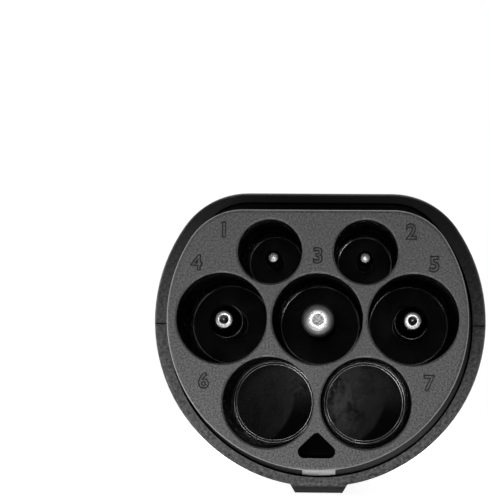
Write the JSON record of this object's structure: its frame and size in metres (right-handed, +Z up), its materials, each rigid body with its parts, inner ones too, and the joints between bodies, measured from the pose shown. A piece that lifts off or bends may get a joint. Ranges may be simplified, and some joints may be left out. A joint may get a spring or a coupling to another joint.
{
  "type": "ev charging plug",
  "caption": "Straight hand-held AC charging plug: D-shaped nose with wells and recessed contact pins, two-part housing with a grip, and a cable gland.",
  "frame": {"origin": "on the axis of the earth pin, in the plane of the mating face", "axes": "+X right as seen from the front, +Y back from the mating face towards the cable gland, +Z up towards the flat of the D"},
  "size_m": [0.0632, 0.2051, 0.0571],
  "materials": {
    "nose_plastic": "fine moulded texture, black",
    "shell_plastic": "satin moulded, black",
    "plug_plastic": "smooth moulded, black",
    "inner_plastic": "moulded, dark grey",
    "pin_metal": "silver-plated, bright turned",
    "keeper_metal": "zinc-plated, satin",
    "screw_steel": "zinc-plated",
    "insert_brass": "turned",
    "seal_rubber": "matt",
    "board_laminate": "green solder mask",
    "resistor_body": "lacquered"
  },
  "bodies": {
    "root": {"contact_carrier": "nose_plastic", "blanking_plug_left": "plug_plastic", "blanking_plug_right": "plug_plastic", "lock_keeper": "keeper_metal", "nose_gasket": "seal_rubber", "contact_retainer": "inner_plastic", "retainer_screws": "screw_steel", "upper_shell": "shell_plastic", "lower_shell": "shell_plastic", "shell_inserts": "insert_brass", "shell_screws": "screw_steel", "coding_board": "board_laminate", "coding_resistor": "resistor_body", "board_screws": "screw_steel", "cable_clamp": "inner_plastic", "clamp_screws": "screw_steel", "gland_body": "inner_plastic", "gland_seal": "seal_rubber", "gland_nut": "shell_plastic", "earth_pin": "pin_metal", "earth_seal": "seal_rubber", "line_pin": "pin_metal", "line_seal": "seal_rubber", "neutral_pin": "pin_metal", "neutral_seal": "seal_rubber", "proximity_pin": "pin_metal", "proximity_seal": "seal_rubber", "pilot_pin": "pin_metal", "pilot_seal": "seal_rubber"}
  },
  "joints": []
}
